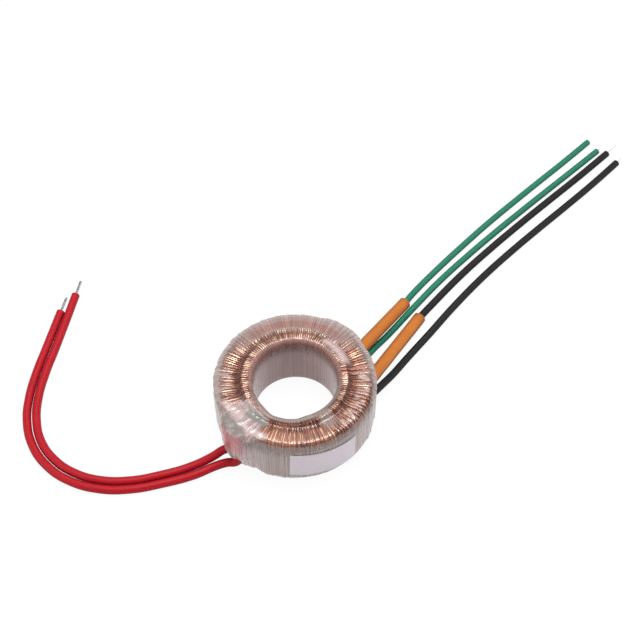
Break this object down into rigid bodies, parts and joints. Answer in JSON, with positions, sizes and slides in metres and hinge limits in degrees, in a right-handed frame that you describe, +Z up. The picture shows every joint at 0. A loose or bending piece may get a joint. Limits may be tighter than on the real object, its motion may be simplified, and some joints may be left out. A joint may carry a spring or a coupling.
{
  "type": "toroidal transformer",
  "caption": "Small toroidal mains transformer wrapped in clear film, with red primary leads, green and black secondary leads, orange sleeves and a blank label.",
  "frame": {"origin": "centre of the ring's underside", "axes": "+Z up along the ring's axis; the red primary leads leave towards -X -Y and the secondary leads towards +X +Y"},
  "size_m": [0.1985, 0.1438, 0.0204],
  "materials": {
    "core_steel": "satin",
    "cap_plastic": "matt moulding",
    "primary_copper": "enamelled fine wire",
    "inner_tape": "clear polyester tape",
    "enamelled_copper": "glossy enamel over copper",
    "tinned_copper": "tinned strands",
    "joint_sleeving": "satin sleeving",
    "pad_foam": "soft white padding tape",
    "clear_film": "glossy clear polyester film",
    "label_paper": "smooth blank paper",
    "red_insulation": "semi-gloss PVC",
    "green_insulation": "semi-gloss PVC",
    "black_insulation": "semi-gloss PVC",
    "orange_sleeving": "semi-gloss sleeving"
  },
  "bodies": {
    "root": {"core": "core_steel", "core_cap_upper": "cap_plastic", "core_cap_lower": "cap_plastic", "primary_winding": "primary_copper", "primary_tape": "inner_tape", "green_winding": "enamelled_copper", "black_winding": "enamelled_copper", "solder_joint_a": "tinned_copper", "solder_joint_b": "tinned_copper", "joint_sleeve_a": "joint_sleeving", "joint_sleeve_b": "joint_sleeving", "lead_pad": "pad_foam", "outer_wrap": "clear_film", "blank_label": "label_paper", "red_lead_a": "red_insulation", "red_lead_b": "red_insulation", "red_end_a": "tinned_copper", "red_end_b": "tinned_copper", "green_lead_a": "green_insulation", "green_lead_b": "green_insulation", "green_end_a": "tinned_copper", "green_end_b": "tinned_copper", "black_lead_a": "black_insulation", "black_lead_b": "black_insulation", "black_end_a": "tinned_copper", "black_end_b": "tinned_copper", "green_sleeve": "orange_sleeving", "black_sleeve": "orange_sleeving"}
  },
  "joints": []
}
